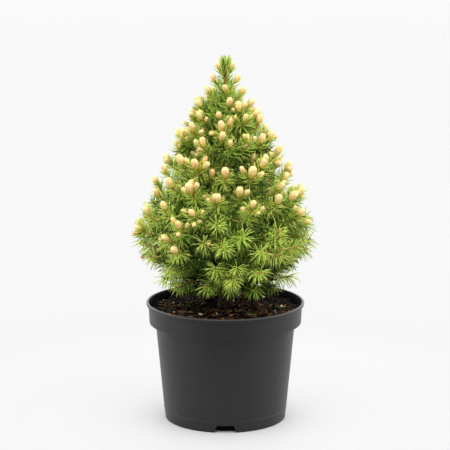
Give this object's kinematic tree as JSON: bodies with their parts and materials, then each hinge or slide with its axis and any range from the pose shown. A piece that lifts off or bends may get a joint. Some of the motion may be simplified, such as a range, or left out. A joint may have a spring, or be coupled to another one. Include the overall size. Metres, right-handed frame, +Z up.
{
  "type": "potted dwarf white spruce",
  "caption": "Young dwarf white spruce, a dense cone of short needles and fat spring buds, growing in a round stepped-rim nursery pot.",
  "frame": {"origin": "centre of the pot's foot ring, on the surface that the pot stands on", "axes": "+Z up along the trunk, -Y towards the viewer"},
  "size_m": [0.2121, 0.2144, 0.44],
  "materials": {
    "pot": "satin charcoal injection-moulded polypropylene",
    "potting_mix": "damp dark peat with bark chips and white perlite",
    "bark": "rough red-brown bark",
    "needles": "fresh yellow-green needles, paler at the tips, with cream and peach buds"
  },
  "bodies": {
    "root": {"bough_high_1": "bark", "bough_high_2": "bark", "bough_high_3": "bark", "bough_high_4": "bark", "bough_low_1": "bark", "bough_low_2": "bark", "bough_low_3": "bark", "bough_low_4": "bark", "bough_low_5": "bark", "bough_middle_1": "bark", "bough_middle_2": "bark", "bough_middle_3": "bark", "bough_middle_4": "bark", "bough_middle_5": "bark", "bough_skirt_1": "bark", "bough_skirt_2": "bark", "bough_skirt_3": "bark", "bough_skirt_4": "bark", "bough_skirt_5": "bark", "bough_skirt_6": "bark", "bough_top_1": "bark", "bough_top_2": "bark", "bough_top_3": "bark", "bough_upper_1": "bark", "bough_upper_2": "bark", "bough_upper_3": "bark", "bough_upper_4": "bark", "needles_high_1": "needles", "needles_high_2": "needles", "needles_high_3": "needles", "needles_high_4": "needles", "needles_leader": "needles", "needles_low_1": "needles", "needles_low_2": "needles", "needles_low_3": "needles", "needles_low_4": "needles", "needles_low_5": "needles", "needles_middle_1": "needles", "needles_middle_2": "needles", "needles_middle_3": "needles", "needles_middle_4": "needles", "needles_middle_5": "needles", "needles_skirt_1": "needles", "needles_skirt_2": "needles", "needles_skirt_3": "needles", "needles_skirt_4": "needles", "needles_skirt_5": "needles", "needles_skirt_6": "needles", "needles_top_1": "needles", "needles_top_2": "needles", "needles_top_3": "needles", "needles_upper_1": "needles", "needles_upper_2": "needles", "needles_upper_3": "needles", "needles_upper_4": "needles", "pot": "pot", "potting_mix": "potting_mix", "trunk": "bark"}
  },
  "joints": []
}
